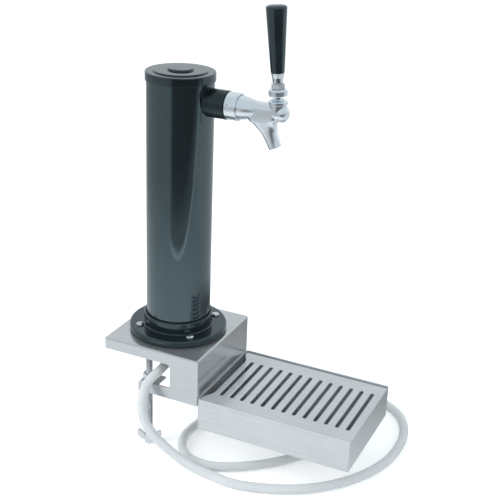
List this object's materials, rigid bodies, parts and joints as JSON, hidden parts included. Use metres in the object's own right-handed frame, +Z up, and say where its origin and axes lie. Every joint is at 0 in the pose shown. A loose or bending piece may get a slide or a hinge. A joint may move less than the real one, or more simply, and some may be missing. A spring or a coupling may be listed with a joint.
{
  "type": "beer tap tower",
  "caption": "Clamp-on beer tap tower: a black column with a chrome lever faucet on a steel table-edge bracket, with a drip tray, lift-out grille and beer hose.",
  "frame": {"origin": "on the column's axis, in the plane of the table top that the bracket's side lips rest on", "axes": "+Z up along the column, +X forward towards the faucet and the tray, +Y to the left seen from the user's side"},
  "size_m": [0.3368, 0.2676, 0.5335],
  "materials": {
    "bracket_steel": "brushed stainless sheet",
    "tray_steel": "brushed stainless sheet",
    "hardware_steel": "bright plated steel",
    "black_coat": "gloss black coating",
    "chrome_plate": "polished chrome",
    "plated_brass": "nickel-plated brass",
    "black_rubber": "matt rubber",
    "handle_black": "gloss black",
    "clear_hose": "translucent vinyl"
  },
  "bodies": {
    "tower": {"clamp_bracket": "bracket_steel", "clamp_nut_front": "hardware_steel", "clamp_nut_rear": "hardware_steel", "drip_tray": "tray_steel", "base_flange": "black_coat", "flange_gasket": "black_rubber", "flange_screw_1": "hardware_steel", "flange_screw_2": "hardware_steel", "flange_screw_3": "hardware_steel", "flange_screw_4": "hardware_steel", "flange_nut_1": "hardware_steel", "flange_nut_2": "hardware_steel", "flange_nut_3": "hardware_steel", "flange_nut_4": "hardware_steel", "column_tube": "black_coat", "shank_sleeve": "black_coat", "beer_shank": "plated_brass", "saddle_washer": "plated_brass", "lock_nut": "plated_brass", "tail_washer": "black_rubber", "elbow_tailpiece": "chrome_plate", "tail_nut": "chrome_plate", "hose_clamp_upper": "hardware_steel", "coupling_nut": "chrome_plate", "faucet_gasket": "black_rubber", "faucet_body": "chrome_plate", "ball_washer": "black_rubber", "friction_washer": "black_rubber", "lever_bonnet": "chrome_plate", "beer_hose": "clear_hose", "hose_clamp_lower": "hardware_steel", "keg_tailpiece": "hardware_steel", "keg_nut": "hardware_steel", "keg_washer": "black_rubber"},
    "lever": {"tap_lever": "chrome_plate", "lever_collar": "chrome_plate", "lever_jam_nut": "chrome_plate", "handle_ferrule": "chrome_plate", "tap_handle": "handle_black"},
    "valve_shaft": {"faucet_shaft": "hardware_steel", "seat_washer": "black_rubber", "shaft_nut": "hardware_steel"},
    "cap": {"top_cap": "black_coat"},
    "grille": {"drip_grille": "tray_steel"},
    "front_pad": {"clamp_pad_front": "black_rubber"},
    "front_screw": {"clamp_screw_front": "hardware_steel", "wing_handle_front": "hardware_steel"},
    "rear_pad": {"clamp_pad_rear": "black_rubber"},
    "rear_screw": {"clamp_screw_rear": "hardware_steel", "wing_handle_rear": "hardware_steel"}
  },
  "joints": [
    {"name": "lever_tilt", "type": "hinge", "parent": "tower", "child": "lever", "pos_m": [0.118, 0, 0.3095], "axis": [0, 1, 0], "range_deg": [0, 32]},
    {"name": "valve_slide", "type": "slide", "parent": "tower", "child": "valve_shaft", "axis": [-1, 0, 0], "range_m": [0, 0.0063]},
    {"name": "cap_lift", "type": "slide", "parent": "tower", "child": "cap", "axis": [0, 0, 1], "range_m": [0, 0.03]},
    {"name": "grille_lift", "type": "slide", "parent": "tower", "child": "grille", "axis": [0, 0, 1], "range_m": [0, 0.06]},
    {"name": "front_pad_lift", "type": "slide", "parent": "tower", "child": "front_pad", "axis": [0, 0, 1], "range_m": [-0.021, 0.007]},
    {"name": "front_screw_turn", "type": "hinge", "parent": "front_pad", "child": "front_screw", "pos_m": [-0.008, -0.056, -0.06], "axis": [0, 0, 1], "range_deg": [-6100, 2060]},
    {"name": "rear_pad_lift", "type": "slide", "parent": "tower", "child": "rear_pad", "axis": [0, 0, 1], "range_m": [-0.021, 0.007]},
    {"name": "rear_screw_turn", "type": "hinge", "parent": "rear_pad", "child": "rear_screw", "pos_m": [-0.008, 0.056, -0.06], "axis": [0, 0, 1], "range_deg": [-6100, 2060]}
  ],
  "couplings": [
    {"joint": "valve_slide", "follows": "lever_tilt", "m_per_rad": 0.0111},
    {"joint": "front_screw_turn", "follows": "front_pad_lift", "rad_per_m": 5026.5},
    {"joint": "rear_screw_turn", "follows": "rear_pad_lift", "rad_per_m": 5026.5}
  ]
}
